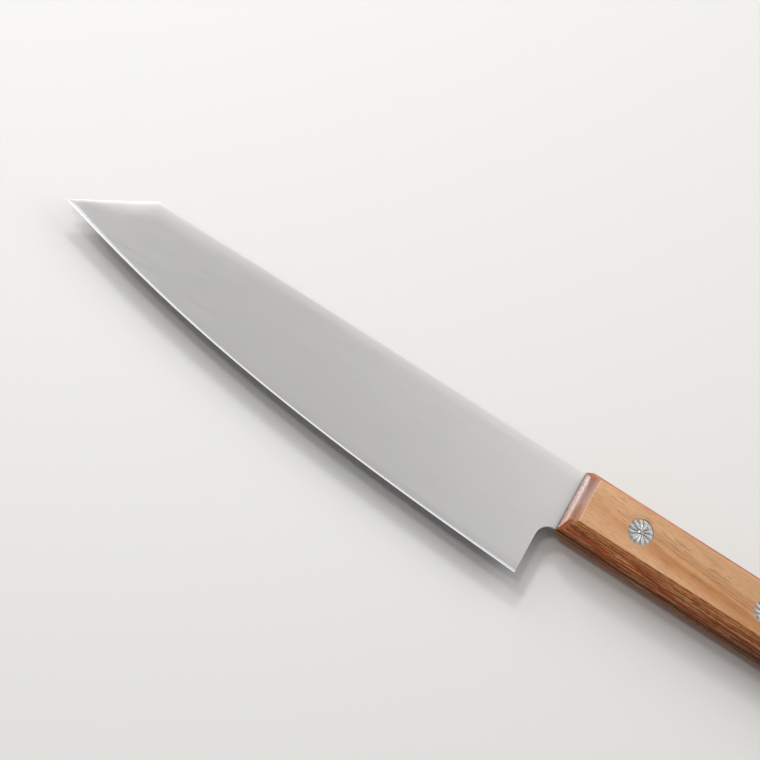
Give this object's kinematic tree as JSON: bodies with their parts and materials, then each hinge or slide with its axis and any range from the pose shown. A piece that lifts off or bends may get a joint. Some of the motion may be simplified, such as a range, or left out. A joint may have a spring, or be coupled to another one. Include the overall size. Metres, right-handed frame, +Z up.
{
  "type": "kiritsuke petty knife",
  "caption": "Small kitchen knife with an angled point, a straight spine, a full tang and an octagonal wooden handle held by rosette-headed rivets; for slicing and paring.",
  "frame": {"origin": "middle of the knife's length and depth, on the surface that the right scale lies on", "axes": "+X along the knife from tip to butt, +Y from edge to spine, +Z up, out of the left face"},
  "size_m": [0.2656, 0.034, 0.0148],
  "materials": {
    "satin_steel": "satin",
    "lacquered_wood": "gloss lacquer",
    "nickel_silver": "polished"
  },
  "bodies": {
    "root": {"blade": "satin_steel", "left_scale": "lacquered_wood", "right_scale": "lacquered_wood", "front_rivet_tube": "nickel_silver", "front_rivet_pin": "nickel_silver", "middle_rivet_tube": "nickel_silver", "middle_rivet_pin": "nickel_silver", "rear_rivet_tube": "nickel_silver", "rear_rivet_pin": "nickel_silver"}
  },
  "joints": []
}
